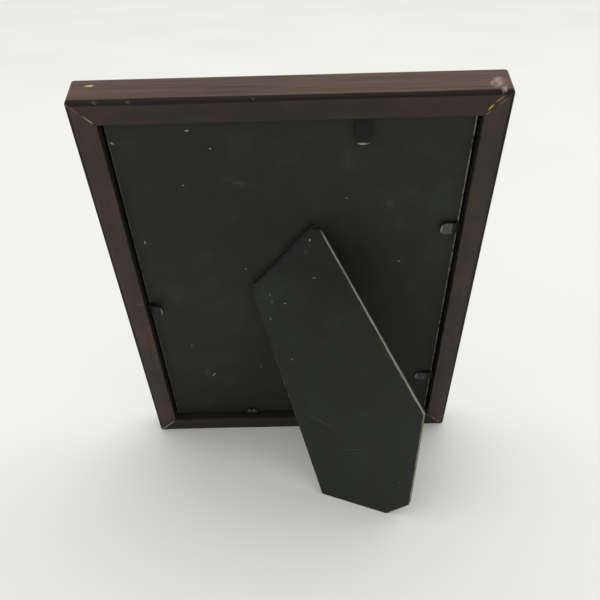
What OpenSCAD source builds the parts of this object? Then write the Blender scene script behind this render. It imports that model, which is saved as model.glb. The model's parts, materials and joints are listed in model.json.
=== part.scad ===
// Coin display frame: mitred wooden moulding, glass, window mat, six coins in a flocked tray,
// and a backing board with bend-over retaining tabs and an easel strut on a diagonal cloth hinge.
// Modelled standing: +Z up, front face towards -Y, leaning back on the open strut.
// Origin: middle of the footprint on the desk.

/* [Moulding] */
// Overall width across the moulding
frame_w = 147; // [135:0.5:165]
// Overall height along the moulding
frame_h = 198; // [190:0.5:215]
// Depth of the moulding, front to back
frame_d = 15; // [15:0.5:20]
// Moulding width seen from the back
back_w = 9; // [8:0.5:10]
// How far the front lip reaches over the glass
lip_w = 5; // [4:0.5:6]
// Thickness of the front lip
lip_t = 2; // [1.8:0.1:3]

/* [Back] */
// Depth of the backing board's face below the back of the moulding
recess = 3.4; // [3:0.1:4]
// Gap between the backing board and the moulding on each side
board_gap = 1.2; // [0.6:0.1:1.6]
// Thickness of the backing board
board_t = 2.4; // [2:0.1:2.6]

/* [Strut] */
// Opening angle of the strut when it stands
open_angle = 33.5; // [30:0.5:34]
// Slope of the hinge line from the horizontal
hinge_slope = 53; // [50:0.5:56]
// Thickness of the strut board
strut_t = 2.3; // [2:0.1:2.6]

/* [Coins] */
// Diameter of a coin
coin_d = 38.1; // [32:0.1:39]
// Thickness of a coin
coin_t = 2.6; // [2:0.1:2.8]

/* [Hidden] */
$fn = 64;

// Standing pose. This tilt puts the open strut upright, so that its foot lies flat on the desk.
tilt = atan(tan(open_angle) * cos(hinge_slope));
back_arris_r = 1.2;
front_arris_r = 2.2;
corner_r = 1;
sight_band_w = 3.8;
sight_band_drop = 0.6;
sight_edge_drop = 1.1;
arris_drop = back_arris_r * (sin(tilt) + cos(tilt) - 1);

// Sheet layers, stacked from the glass to the back; y = 0 is the back of the moulding.
opening_w = frame_w - 2 * back_w;
opening_h = frame_h - 2 * back_w;
glass_t = 1.8;
mat_t = 1.2;
facing_t = 0.2;
packing_t = 0.8;
glass_clearance = 1;
glass_back = -frame_d + lip_t + glass_t;
mat_back = glass_back + mat_t;
board_back = -recess - facing_t;
packing_back = board_back - board_t;
tray_back = packing_back - packing_t;
tray_t = tray_back - mat_back;

// Coins. The star and the ring on a coin are given as shares of the coin's radius, and the
// star's inner corners as a share of its points.
coin_clearance = 0.2;
coin_pitch_x = 52;
coin_pitch_z = 52;
coin_rows = 3;
coin_columns = 2;
window_overlap = 0.8;
coin_rim_w = 1.4;
coin_rim_h = 0.3;
coin_relief_h = 0.22;
relief_root = 0.1;
star_reach = 0.55;
star_waist = 0.62;
ring_outer = 0.72;
ring_inner = 0.67;
coin_points = [5, 6, 8, 10, 12, 16];

// Strut, folded flat: u runs to the right as seen from behind, v up from the bottom edge.
cloth_t = 0.4;
bead_r = cloth_t;
bead_clearance = 0.05;
cloth_len = 14;
hinge_foot_u = -17.4;
hinge_foot_v = 104.9;
hinge_len = 41.6;
slot_below = 0.8;
slot_above = 1.5;
slot_over = 0.6;
flap_clearance = 1;
strut_right_u = 62.4;
strut_shoulder_v = 70.4;
strut_chamfer = 9.4;
strut_tip_u = 11;
strut_tip_v = 138.9;
strut_heel_u = 22.1;
axis_y = -recess + bead_r;
hinge_u = [cos(hinge_slope), sin(hinge_slope)];
fall_u = [sin(hinge_slope), -cos(hinge_slope)];

// Retaining tabs. Each stands off the board by its own angle, as far as it happened to be bent.
tab_w = 5.5;
tab_t = 0.4;
tab_tip_r = 1.8;
tab_axis_h = 0.55;
tab_root_gap = 0.05;
tab_anchor_len = 4.5;
tab_kink = 5;
tab_kink_at = 0.45;
tab_top_u = 25;
tab_top_len = 11;
tab_top_lift = 10;
tab_right_upper_v = 136.5;
tab_right_upper_len = 7.9;
tab_right_upper_lift = 8;
tab_right_lower_v = 39;
tab_right_lower_len = 8.4;
tab_right_lower_lift = 0;
tab_left_v = 93;
tab_left_len = 6.6;
tab_left_lift = 18;
tab_bottom_u = -25;
tab_bottom_len = 4.6;
tab_bottom_lift = 8;

// Corner brads
brad_r = 0.6;
brad_head_r = 0.9;
brad_head_len = 1;
brad_len = 18;
brad_inset = 4.5;
brad_depth = -11.5;
brad_sink = 0.15;

// Height above the desk of a point on the folded strut once it is open, and its rise per mm
// along u and v. The foot line is where that height is zero.
axis_height = hinge_foot_v * cos(tilt) - axis_y * sin(tilt) - arris_drop;
up_along_hinge = cos(tilt) * sin(hinge_slope);
up_along_fall = -cos(tilt) * cos(hinge_slope) * cos(open_angle) - sin(tilt) * sin(open_angle);
rise = up_along_hinge * hinge_u + up_along_fall * fall_u;
function foot_v(u) = hinge_foot_v - (axis_height + rise[0] * (u - hinge_foot_u)) / rise[1];

strut_corner_u = strut_right_u - strut_chamfer;
strut_outline = [
    [hinge_foot_u, hinge_foot_v],
    [hinge_foot_u, hinge_foot_v] + hinge_len * hinge_u,
    [strut_tip_u, strut_tip_v],
    [strut_right_u, strut_shoulder_v],
    [strut_right_u, foot_v(strut_corner_u) + strut_chamfer],
    [strut_corner_u, foot_v(strut_corner_u)],
    [strut_heel_u, foot_v(strut_heel_u)]
];

// Placement of the standing part: the moulding's bottom back arris meets the desk, and the
// origin is midway between its lowest front and its highest back point.
reach_front = (front_arris_r - frame_d) * cos(tilt) + front_arris_r * (sin(tilt) - 1);
reach_back = (frame_h - back_arris_r) * sin(tilt) - back_arris_r * (cos(tilt) - 1);
origin_y = (reach_front + reach_back) / 2;

// Stands the part up from the upright working pose.
module standing() {
    translate([0, -origin_y, -arris_drop])
        rotate([-tilt, 0, 0])
            children();
}

// Turns a drawing in X and height into a sheet whose back face is at y.
module sheet_at(y, thickness) {
    translate([0, y, 0])
        rotate([90, 0, 0])
            linear_extrude(thickness)
                children();
}

// The same for a drawing seen from behind, in u and v.
module back_sheet_at(y, thickness) {
    sheet_at(y, thickness)
        mirror([1, 0])
            children();
}

module rounded_rect(w, h, r) {
    square([w - 2 * r, h], center = true);
    square([w, h - 2 * r], center = true);
    for (sx = [-1, 1], sy = [-1, 1])
        translate([sx * (w / 2 - r), sy * (h / 2 - r)])
            circle(r);
}

// What a rounding of radius r takes off a corner at the origin, inside the first quadrant.
module corner_waste(r) {
    difference() {
        translate([-1, -1])
            square(r + 1);
        translate([r, r])
            circle(r);
    }
}

// ---- Moulding ----

// Section of the moulding: y across the depth, then distance in from the outer edge. A sloping
// band steps down to the sight edge around the glass.
module moulding_section() {
    sight = back_w + lip_w;
    band_start = sight - sight_band_w;
    difference() {
        polygon([
            [0, 0],
            [0, back_w],
            [lip_t - frame_d, back_w],
            [lip_t - frame_d, sight],
            [sight_edge_drop - frame_d, sight],
            [sight_band_drop - frame_d, band_start],
            [-frame_d, band_start],
            [-frame_d, 0]
        ]);
        mirror([1, 0])
            corner_waste(back_arris_r);
        translate([-frame_d, 0])
            corner_waste(front_arris_r);
    }
}

// A mitred length lying along X with its outer edge down, centred on x = 0.
module mitred_bar(len) {
    reach = back_w + lip_w + 1;
    intersection() {
        translate([-len / 2, 0, 0])
            rotate([90, 0, 90])
                linear_extrude(len)
                    moulding_section();
        sheet_at(1, frame_d + 2)
            polygon([
                [-len / 2, 0],
                [len / 2, 0],
                [len / 2 - reach, reach],
                [-len / 2 + reach, reach]
            ]);
    }
}

module bottom_bar() {
    mitred_bar(frame_w);
}

module top_bar() {
    translate([0, 0, frame_h])
        mirror([0, 0, 1])
            mitred_bar(frame_w);
}

// Side bar on the +X side.
module side_bar() {
    translate([frame_w / 2, 0, frame_h / 2])
        rotate([0, -90, 0])
            mitred_bar(frame_h);
}

module corner_softening() {
    sheet_at(1, frame_d + 2)
        translate([0, frame_h / 2])
            rounded_rect(frame_w, frame_h, corner_r);
}

// One brad, driven down from the top edge.
module brad() {
    translate([0, brad_depth, frame_h - brad_len])
        cylinder(r = brad_r, h = brad_len - brad_head_len);
    translate([0, brad_depth, frame_h - brad_head_len])
        cylinder(r = brad_head_r, h = brad_head_len - brad_sink);
}

// The same brad's hole, open to the surface.
module brad_hole() {
    translate([0, brad_depth, frame_h - brad_len])
        cylinder(r = brad_r, h = brad_len);
    translate([0, brad_depth, frame_h - brad_head_len])
        cylinder(r = brad_head_r, h = brad_head_len + 1);
}

module at_corners() {
    for (side = [-1, 1])
        translate([side * (frame_w / 2 - brad_inset), 0, 0]) {
            children();
            translate([0, 0, frame_h])
                mirror([0, 0, 1])
                    children();
        }
}

// A bar in its final shape: softened outer corners, brad holes and the slits of the tabs.
module finished_bar() {
    difference() {
        intersection() {
            children();
            corner_softening();
        }
        at_corners()
            brad_hole();
        all_tab_anchors();
    }
}

module top_rail() {
    color("#3b2722")
        standing()
            finished_bar()
                top_bar();
}

module bottom_rail() {
    color("#3b2722")
        standing()
            finished_bar()
                bottom_bar();
}

// Left and right are named as seen from behind.
module left_stile() {
    color("#3f2a25")
        standing()
            finished_bar()
                side_bar();
}

module right_stile() {
    color("#3f2a25")
        standing()
            finished_bar()
                mirror([1, 0, 0])
                    side_bar();
}

module corner_brads() {
    color("#b9b2a0")
        standing()
            at_corners()
                brad();
}

// ---- Sheets and coins ----

module pane_outline(clearance) {
    translate([0, frame_h / 2])
        square([opening_w - 2 * clearance, opening_h - 2 * clearance], center = true);
}

module at_coin(index) {
    column = index % coin_columns;
    row = floor(index / coin_columns);
    translate([
        (column - (coin_columns - 1) / 2) * coin_pitch_x,
        mat_back,
        frame_h / 2 - (row - (coin_rows - 1) / 2) * coin_pitch_z
    ])
        rotate([90, 0, 0])
            children();
}

module glass_pane() {
    color("#cfe0e0", 0.35)
        standing()
            sheet_at(glass_back, glass_t)
                pane_outline(glass_clearance);
}

// Each window is bevelled: wider at the glass than at the coin.
module window_mat() {
    window_r = coin_d / 2 - window_overlap;
    color("#e9e3d3")
        standing()
            difference() {
                sheet_at(mat_back, mat_t)
                    pane_outline(glass_clearance);
                for (index = [0 : coin_rows * coin_columns - 1])
                    at_coin(index)
                        cylinder(r1 = window_r, r2 = window_r + mat_t, h = mat_t);
            }
}

module coin_tray() {
    color("#123a5c")
        standing()
            difference() {
                sheet_at(tray_back, tray_t)
                    pane_outline(glass_clearance);
                for (index = [0 : coin_rows * coin_columns - 1])
                    at_coin(index)
                        mirror([0, 0, 1])
                            cylinder(d = coin_d + 2 * coin_clearance, h = coin_t);
            }
}

module star(points, r) {
    polygon([
        for (i = [0 : 2 * points - 1])
            let (reach = i % 2 == 0 ? r : r * star_waist)
            [reach * sin(180 * i / points), reach * cos(180 * i / points)]
    ]);
}

// A coin lying in its pocket, obverse on top: raised rim, ring and a plain star.
module coin(index) {
    coin_r = coin_d / 2;
    face = -coin_rim_h;
    at_coin(index) {
        difference() {
            translate([0, 0, -coin_t])
                cylinder(r = coin_r, h = coin_t);
            translate([0, 0, face])
                cylinder(r = coin_r - coin_rim_w, h = 1);
            translate([0, 0, -coin_t - 1])
                cylinder(r = coin_r - coin_rim_w, h = 1 + coin_rim_h);
        }
        translate([0, 0, face - relief_root])
            linear_extrude(coin_relief_h + relief_root) {
                star(coin_points[index], coin_r * star_reach);
                difference() {
                    circle(coin_r * ring_outer);
                    circle(coin_r * ring_inner);
                }
            }
    }
}

module coin_1() {
    color("silver")
        standing()
            coin(0);
}

module coin_2() {
    color("silver")
        standing()
            coin(1);
}

module coin_3() {
    color("silver")
        standing()
            coin(2);
}

module coin_4() {
    color("silver")
        standing()
            coin(3);
}

module coin_5() {
    color("silver")
        standing()
            coin(4);
}

module coin_6() {
    color("silver")
        standing()
            coin(5);
}

// ---- Back and strut ----

// A strip along the hinge line: from below to above it across the fall, in u and v.
module hinge_strip(from_fall, to_fall, extra = 0) {
    translate([hinge_foot_u, hinge_foot_v])
        rotate(hinge_slope)
            translate([-extra, -to_fall])
                square([hinge_len + 2 * extra, to_fall - from_fall]);
}

// Puts the Z axis of its children on the hinge line, from its foot upwards, X out of the back.
module on_hinge() {
    translate([-hinge_foot_u, axis_y, hinge_foot_v])
        rotate([0, hinge_slope - 90, 0])
            rotate([0, 0, 90])
                children();
}

// Opens its children from the folded pose to the standing one.
module opened() {
    axis_point = [-hinge_foot_u, axis_y, hinge_foot_v];
    translate(axis_point)
        rotate(a = open_angle, v = [hinge_u[0], 0, -hinge_u[1]])
            translate(-axis_point)
                children();
}

module hinge_clearance() {
    on_hinge()
        translate([0, 0, -1])
            cylinder(r = bead_r + bead_clearance, h = hinge_len + 2);
}

// The packing card leaves room for the cloth flap behind the board.
module packing_card() {
    color("#d8d2c4")
        standing()
            back_sheet_at(packing_back, packing_t)
                difference() {
                    pane_outline(board_gap);
                    hinge_strip(-cloth_len - flap_clearance, slot_below, flap_clearance);
                }
}

module slotted_board() {
    difference() {
        pane_outline(board_gap);
        hinge_strip(-slot_above, slot_below, slot_over);
    }
}

module backing_board() {
    color("#5a4a38")
        standing()
            back_sheet_at(board_back, board_t)
                slotted_board();
}

module board_facing() {
    color("#22241f")
        standing()
            back_sheet_at(-recess, facing_t)
                slotted_board();
}

// Flap glued inside the board, web through the slot and bead on the hinge line.
module hinge_cloth_fixed() {
    color("#161616")
        standing() {
            back_sheet_at(packing_back, cloth_t)
                hinge_strip(-cloth_len, cloth_t / 2);
            back_sheet_at(axis_y, axis_y - packing_back)
                hinge_strip(-cloth_t / 2, cloth_t / 2);
            on_hinge()
                cylinder(r = bead_r, h = hinge_len);
        }
}

// Flap glued under the strut.
module hinge_cloth_moving() {
    color("#161616")
        standing()
            opened()
                difference() {
                    back_sheet_at(axis_y + cloth_t / 2, cloth_t)
                        intersection() {
                            hinge_strip(0, cloth_len);
                            polygon(strut_outline);
                        }
                    hinge_clearance();
                }
}

module strut_board() {
    color("#8d8068")
        standing()
            opened()
                difference() {
                    back_sheet_at(axis_y + cloth_t / 2 + strut_t, strut_t)
                        polygon(strut_outline);
                    hinge_clearance();
                }
}

module strut_facing() {
    color("#26272a")
        standing()
            opened()
                back_sheet_at(axis_y + cloth_t / 2 + strut_t + facing_t, facing_t)
                    polygon(strut_outline);
}

// ---- Retaining tabs ----

// Tab frame on a wall of the rebate: X inwards over the board, Z out of the back, origin at the
// tab's bending line. turn is 0 for a wall facing +X, 90 facing down, 180 facing -X, -90 facing up.
module on_wall(turn, x, z) {
    translate([x, -recess + tab_axis_h, z])
        rotate([0, turn, 0])
            rotate([-90, 0, 0])
                translate([tab_root_gap + tab_t / 2, 0, 0])
                    children();
}

module on_top_wall(u) {
    on_wall(90, -u, frame_h - back_w)
        children();
}

module on_bottom_wall(u) {
    on_wall(-90, -u, back_w)
        children();
}

module on_right_wall(v) {
    on_wall(0, -frame_w / 2 + back_w, v)
        children();
}

module on_left_wall(v) {
    on_wall(180, frame_w / 2 - back_w, v)
        children();
}

// Steel tongue bent over the board: a round root, an inner length and an outer length that is
// kinked down again.
module tongue(len, lift) {
    inner = len * tab_kink_at;
    outer = len - inner;
    rotate([0, -lift - tab_kink, 0]) {
        rotate([90, 0, 0])
            cylinder(d = tab_t, h = tab_w, center = true);
        translate([0, -tab_w / 2, -tab_t / 2])
            cube([inner, tab_w, tab_t]);
        translate([inner, 0, 0])
            rotate([0, 2 * tab_kink, 0]) {
                rotate([90, 0, 0])
                    cylinder(d = tab_t, h = tab_w, center = true);
                translate([0, 0, -tab_t / 2])
                    linear_extrude(tab_t)
                        tongue_tip(outer);
            }
    }
}

module tongue_tip(len) {
    tip_r = min(tab_tip_r, len / 2);
    translate([0, -tab_w / 2])
        square([len - tip_r, tab_w]);
    translate([0, -tab_w / 2 + tip_r])
        square([len, tab_w - 2 * tip_r]);
    for (side = [-1, 1])
        translate([len - tip_r, side * (tab_w / 2 - tip_r)])
            circle(tip_r);
}

// The part of a tab that is driven into the wood.
module anchor() {
    translate([-tab_root_gap - tab_t / 2 - tab_anchor_len, -tab_w / 2, -tab_t / 2])
        cube([tab_anchor_len, tab_w, tab_t]);
}

module all_tab_anchors() {
    on_top_wall(tab_top_u)
        anchor();
    on_right_wall(tab_right_upper_v)
        anchor();
    on_right_wall(tab_right_lower_v)
        anchor();
    on_left_wall(tab_left_v)
        anchor();
    on_bottom_wall(tab_bottom_u)
        anchor();
}

module tab_anchors() {
    color("#3a3a38")
        standing()
            all_tab_anchors();
}

module tab_top() {
    color("#3a3a38")
        standing()
            on_top_wall(tab_top_u)
                tongue(tab_top_len, tab_top_lift);
}

module tab_right_upper() {
    color("#3a3a38")
        standing()
            on_right_wall(tab_right_upper_v)
                tongue(tab_right_upper_len, tab_right_upper_lift);
}

module tab_right_lower() {
    color("#3a3a38")
        standing()
            on_right_wall(tab_right_lower_v)
                tongue(tab_right_lower_len, tab_right_lower_lift);
}

module tab_left() {
    color("#3a3a38")
        standing()
            on_left_wall(tab_left_v)
                tongue(tab_left_len, tab_left_lift);
}

module tab_bottom() {
    color("#3a3a38")
        standing()
            on_bottom_wall(tab_bottom_u)
                tongue(tab_bottom_len, tab_bottom_lift);
}

top_rail();
bottom_rail();
left_stile();
right_stile();
corner_brads();
glass_pane();
window_mat();
coin_tray();
coin_1();
coin_2();
coin_3();
coin_4();
coin_5();
coin_6();
packing_card();
backing_board();
board_facing();
hinge_cloth_fixed();
hinge_cloth_moving();
strut_board();
strut_facing();
tab_anchors();
tab_top();
tab_right_upper();
tab_right_lower();
tab_left();
tab_bottom();
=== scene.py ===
"""Looks of the coin display frame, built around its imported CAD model."""

import json
import math
import random

import bmesh
import bpy
from mathutils import Matrix, Vector, noise
from mathutils.geometry import convex_hull_2d


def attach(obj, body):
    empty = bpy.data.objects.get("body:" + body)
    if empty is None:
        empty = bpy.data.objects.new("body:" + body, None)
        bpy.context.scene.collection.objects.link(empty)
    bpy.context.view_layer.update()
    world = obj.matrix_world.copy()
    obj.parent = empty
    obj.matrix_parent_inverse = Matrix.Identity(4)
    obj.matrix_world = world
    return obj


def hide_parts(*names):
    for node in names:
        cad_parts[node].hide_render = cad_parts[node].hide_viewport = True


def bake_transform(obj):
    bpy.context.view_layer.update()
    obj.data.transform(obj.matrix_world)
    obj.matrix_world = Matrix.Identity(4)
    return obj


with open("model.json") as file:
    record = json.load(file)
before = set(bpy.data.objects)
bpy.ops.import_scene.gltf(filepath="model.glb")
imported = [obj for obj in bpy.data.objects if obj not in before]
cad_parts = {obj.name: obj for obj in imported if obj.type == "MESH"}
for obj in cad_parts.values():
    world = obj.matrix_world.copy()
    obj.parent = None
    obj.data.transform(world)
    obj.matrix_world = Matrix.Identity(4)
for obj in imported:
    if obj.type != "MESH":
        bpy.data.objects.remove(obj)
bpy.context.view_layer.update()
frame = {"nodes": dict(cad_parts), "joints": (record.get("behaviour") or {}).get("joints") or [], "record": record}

MM = 0.001


# ---- Working axes, read from the frame ----

def axes_matrix(origin, out, up):
    """Axes with Y along out and Z along up, from the given origin."""
    side = out.cross(up)
    matrix = Matrix((side, out, up)).transposed().to_4x4()
    matrix.translation = origin
    return matrix


def standing_axes():
    """The frame's own upright axes: X across, Y out of its back, Z up; y = 0 at the back face."""
    mounts = {m["name"]: m for m in frame["record"]["mounts"]}
    out = Vector(mounts["back_face"]["axis"]).normalized()
    up = -Vector(mounts["underside"]["axis"]).normalized()
    under = Vector(mounts["underside"]["pos_m"])
    back = Vector(mounts["back_face"]["pos_m"])
    return axes_matrix(under + out * (back - under).dot(out), out, up)


def strut_axes():
    """The open strut's axes: origin mid-hinge, Y out of its face, Z up the hinge line."""
    joint = next(j for j in frame["joints"] if j["name"] == "strut_fold")
    up = Vector(joint["axis"]).normalized()
    face = max(frame["nodes"]["strut_facing"].data.polygons, key=lambda p: p.area)
    out = face.normal.copy()
    if out.dot(STANDING.col[1].to_3d()) < 0:
        out.negate()
    out = (out - up * out.dot(up)).normalized()
    return axes_matrix(Vector(joint["pos_m"]), out, up)


STANDING = standing_axes()
STRUT = strut_axes()


def node_points(node, axes):
    """A CAD node's vertices in millimetres, in the given axes."""
    inverse = axes.inverted()
    return [inverse @ v.co / MM for v in frame["nodes"][node].data.vertices]


def node_span(node, axis, axes=STANDING):
    """Lowest and highest coordinate of a node along one of the given axes, in millimetres."""
    values = [p[axis] for p in node_points(node, axes)]
    return min(values), max(values)


WIDTH = 2 * node_span("left_stile", 0)[1]
HEIGHT = node_span("top_rail", 2)[1]
DEPTH = -node_span("top_rail", 1)[0]
SIGHT = node_span("bottom_rail", 2)[1]
BACK_WIDTH = max(p.z for p in node_points("bottom_rail", STANDING) if p.y > -1)
LIP_BACK = node_span("glass_pane", 1)[0]
HINGE_LENGTH = node_span("hinge_cloth_fixed", 2, STRUT)


# ---- Mesh helpers ----

def piece(name, points, faces, axes, look, body=None, bend=35):
    """A mesh object from points in millimetres in the given axes, riding on a body."""
    mesh = bpy.data.meshes.new(name)
    mesh.from_pydata([axes @ (Vector(p) * MM) for p in points], [], faces)
    bm = bmesh.new()
    bm.from_mesh(mesh)
    bmesh.ops.recalc_face_normals(bm, faces=bm.faces)
    bm.to_mesh(mesh)
    bm.free()
    mesh.shade_smooth()
    mesh.set_sharp_from_angle(angle=math.radians(bend))
    mesh.materials.append(look)
    obj = bpy.data.objects.new(name, mesh)
    bpy.context.scene.collection.objects.link(obj)
    if body:
        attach(obj, body)
    return obj


def paint(obj, name, values):
    """Stores one number per vertex for the material to read."""
    attribute = obj.data.attributes.new(name, "FLOAT", "POINT")
    attribute.data.foreach_set("value", values)


def loft(rings):
    """Points and faces of a closed tube through rings of equal length."""
    count = len(rings[0])
    faces = []
    for i in range(len(rings) - 1):
        for j in range(count):
            k = (j + 1) % count
            faces.append((i * count + j, i * count + k, (i + 1) * count + k, (i + 1) * count + j))
    faces.append(tuple(reversed(range(count))))
    last = (len(rings) - 1) * count
    faces.append(tuple(range(last, last + count)))
    return [p for ring in rings for p in ring], faces


def filleted(corners, steps=5):
    """Outline through corners (a, b, radius), each corner rounded to its radius."""
    outline = []
    for i, (a, b, radius) in enumerate(corners):
        here = Vector((a, b))
        before = Vector(corners[i - 1][:2]) - here
        after = Vector(corners[(i + 1) % len(corners)][:2]) - here
        half = before.angle(after) / 2
        reach = radius / math.tan(half)
        start = here + before.normalized() * reach
        stop = here + after.normalized() * reach
        bisector = (before.normalized() + after.normalized()).normalized()
        centre = here + bisector * radius / math.sin(half)
        for step in range(steps + 1):
            share = step / steps
            ray = (start - centre).lerp(stop - centre, share).normalized() * radius
            outline.append(centre + ray)
    return outline


def resampled(outline, spacing):
    """The outline with long straight runs split, so that no step is longer than spacing."""
    result = []
    for i, point in enumerate(outline):
        following = outline[(i + 1) % len(outline)]
        parts = max(1, math.ceil((following - point).length / spacing))
        result += [point.lerp(following, k / parts) for k in range(parts)]
    return result


def inset(outline, distance):
    """The outline moved inwards along its vertex normals. It runs clockwise or the other way."""
    area = sum(p.cross(outline[(i + 1) % len(outline)]) for i, p in enumerate(outline))
    turn = 1 if area > 0 else -1
    moved = []
    for i, point in enumerate(outline):
        along = (outline[(i + 1) % len(outline)] - outline[i - 1]).normalized()
        moved.append(point + Vector((-along.y, along.x)) * turn * distance)
    return moved


# ---- Materials ----

def srgb(red, green, blue):
    """Linear colour from 8-bit display values, by the sRGB curve."""
    linear = []
    for value in (red, green, blue):
        if value > 10:
            linear.append(((value / 255 + 0.055) / 1.055) ** 2.4)
        else:
            linear.append(value / 255 / 12.92)
    return (*linear, 1.0)


MIX_FIRST = 6
MIX_SECOND = 7
MIX_RESULT = 2


class Look:
    """A material under construction: its Principled shader and short ways to join nodes to it."""

    def __init__(self, name, axes=None, **shader):
        self.material = bpy.data.materials.new(name)
        self.material.use_nodes = True
        self.tree = self.material.node_tree
        self.shader = self.tree.nodes["Principled BSDF"]
        for socket, value in shader.items():
            self.shader.inputs[socket.replace("_", " ")].default_value = value
        self.place = self.node("ShaderNodeTexCoord").outputs["Object"]
        if axes:
            back = axes.inverted()
            self.place = self.node(
                "ShaderNodeMapping",
                {"Vector": self.place, "Location": back.translation, "Rotation": back.to_euler()},
            ).outputs[0]

    def node(self, kind, inputs=None, **settings):
        node = self.tree.nodes.new(kind)
        for key, value in settings.items():
            setattr(node, key, value)
        for socket, value in (inputs or {}).items():
            if isinstance(value, bpy.types.NodeSocket):
                self.tree.links.new(value, node.inputs[socket])
            else:
                node.inputs[socket].default_value = value
        return node

    def set(self, socket, value):
        self.tree.links.new(value, self.shader.inputs[socket])

    def stretched(self, scale):
        return self.node("ShaderNodeMapping", {"Vector": self.place, "Scale": scale}).outputs[0]

    def noise(self, scale, detail=3.0, rough=0.5, stretch=None):
        place = self.stretched(stretch) if stretch else self.place
        settings = {"Vector": place, "Scale": scale, "Detail": detail, "Roughness": rough}
        return self.node("ShaderNodeTexNoise", settings).outputs["Fac"]

    def cells(self, scale):
        """Distance to the nearest of many scattered points."""
        inputs = {"Vector": self.place, "Scale": scale}
        return self.node("ShaderNodeTexVoronoi", inputs, feature="F1").outputs["Distance"]

    def math(self, operation, a, b=0.0):
        return self.node("ShaderNodeMath", {0: a, 1: b}, operation=operation).outputs[0]

    def times(self, a, b):
        return self.math("MULTIPLY", a, b)

    def fade(self, value, low, high, to_low=0.0, to_high=1.0):
        """Smooth step from to_low, where value is low, to to_high, where it is high."""
        inputs = {
            "Value": value,
            "From Min": low,
            "From Max": high,
            "To Min": to_low,
            "To Max": to_high,
        }
        return self.node("ShaderNodeMapRange", inputs, interpolation_type="SMOOTHSTEP").outputs[0]

    def ramp(self, value, *stops):
        node = self.node("ShaderNodeValToRGB", {"Fac": value})
        elements = node.color_ramp.elements
        while len(elements) < len(stops):
            elements.new(0.5)
        for element, (position, colour) in zip(elements, stops):
            element.position = position
            element.color = colour
        return node.outputs[0]

    def mix(self, share, first, second):
        """First colour where share is 0, second where it is 1."""
        inputs = {0: share, MIX_FIRST: first, MIX_SECOND: second}
        return self.node("ShaderNodeMix", inputs, data_type="RGBA").outputs[MIX_RESULT]

    def attribute(self, name):
        return self.node("ShaderNodeAttribute", attribute_name=name).outputs["Fac"]

    def axis(self, letter, place=None):
        return self.node("ShaderNodeSeparateXYZ", {0: place or self.place}).outputs[letter]

    def shaken(self, scale, amount):
        """Texture space with its points shaken by noise, for ragged outlines."""
        wobble = self.node("ShaderNodeTexNoise", {"Vector": self.place, "Scale": scale, "Detail": 3.0})
        centred = self.node("ShaderNodeVectorMath", {0: wobble.outputs["Color"], 1: (0.5, 0.5, 0.5)},
                            operation="SUBTRACT")
        scaled = self.node("ShaderNodeVectorMath", {0: centred.outputs[0], "Scale": amount},
                           operation="SCALE")
        return self.node("ShaderNodeVectorMath", {0: self.place, 1: scaled.outputs[0]},
                         operation="ADD").outputs[0]

    def marks(self, marks, place, soft=0.5):
        """Mask of oval marks, each (centre, half sizes, turn), in mm and degrees."""
        total = None
        for centre, size, turn in marks:
            inside = self.node("ShaderNodeMapping", {
                "Vector": place,
                "Location": Vector(centre) * MM,
                "Rotation": [math.radians(a) for a in turn],
                "Scale": Vector(size) * MM,
            }, vector_type="TEXTURE").outputs[0]
            length = self.node("ShaderNodeVectorMath", {0: inside}, operation="LENGTH").outputs["Value"]
            mask = self.fade(length, 1.0, soft)
            total = self.math("MAXIMUM", total, mask) if total else mask
        return total

    def bump(self, height, distance, strength, under=None):
        inputs = {"Height": height, "Distance": distance * MM, "Strength": strength}
        if under:
            inputs["Normal"] = under
        return self.node("ShaderNodeBump", inputs).outputs[0]


THROUGH = 1000.0


def flat_mark(x, z, length, width, turn=0.0):
    """A mark on a face seen along the depth: centre, half length, half width, and its slope."""
    return (x, 0, z), (length, THROUGH, width), (0, -turn, 0)


def edge_mark(x, y, length, width, turn=0.0):
    """A mark on the top edge of the moulding."""
    return (x, y, 0), (length, width, THROUGH), (0, 0, turn)


BRAD_PUTTY = [edge_mark(66.6, -9.9, 2.0, 0.7, 8)]
BRAD_SMEAR = [edge_mark(-68.6, -6.0, 4.2, 2.6, 60), edge_mark(-70.2, -2.2, 2.6, 1.2, 70)]
CORNER_FILLER = [flat_mark(-66.3, 192.4, 1.7, 0.4, 130), flat_mark(-68.6, 195.2, 2.0, 0.22, 135)]
MITRE_PUTTY = [
    flat_mark(69.0, 4.5, 6.0, 0.3, 135),
    flat_mark(66.6, 191.1, 2.6, 0.2, 45),
]
MITRE_DASHES = [flat_mark(-69.0, 4.5, 6.0, 0.25, 45)]
STILE_SCRATCH = [flat_mark(66.4, 98.8, 2.3, 0.12, 2)]


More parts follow.
